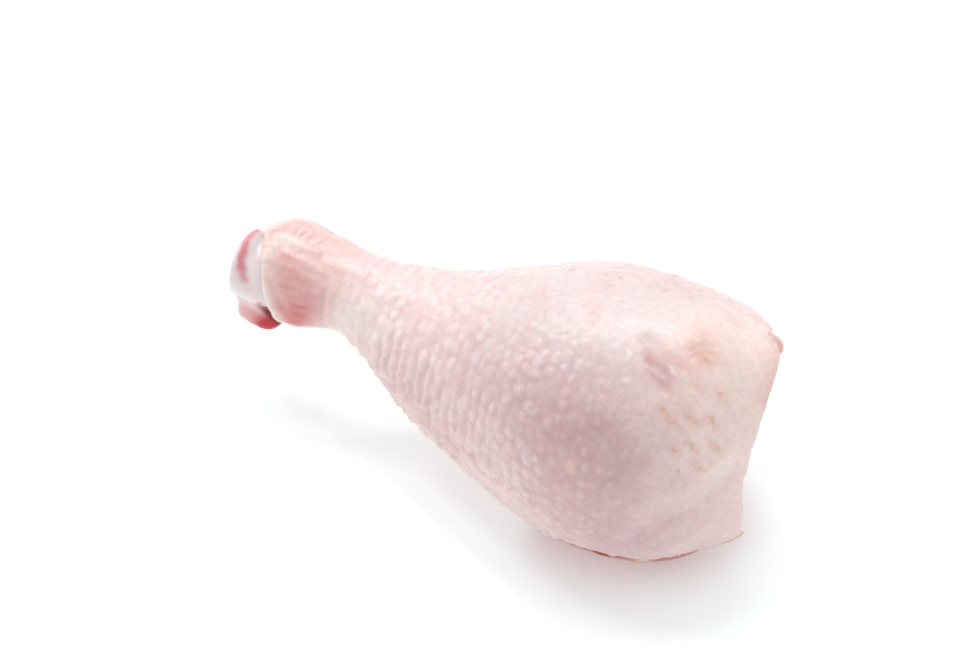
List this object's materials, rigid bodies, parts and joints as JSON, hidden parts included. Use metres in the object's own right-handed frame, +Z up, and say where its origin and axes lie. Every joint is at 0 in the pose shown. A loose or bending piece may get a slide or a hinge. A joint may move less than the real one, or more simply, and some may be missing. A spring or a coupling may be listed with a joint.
{
  "type": "raw chicken drumstick",
  "caption": "Raw chicken drumstick with its skin on: plump thick end with a slanted thigh cut, slim shank and a bare double knuckle at the hock.",
  "frame": {"origin": "middle of the whole's box, on the surface it lies on", "axes": "+X from the hock towards the thick end, +Z up, -Y towards the front; the hock is lifted off the surface"},
  "size_m": [0.1166, 0.057, 0.0524],
  "materials": {
    "skin": "wet raw skin, translucent pale pink with a moist sheen",
    "meat": "wet raw dark meat, deep pink-red",
    "cartilage": "moist bluish-white cartilage with red streaks"
  },
  "bodies": {
    "root": {"skin": "skin", "meat": "meat", "bone": "cartilage"}
  },
  "joints": []
}
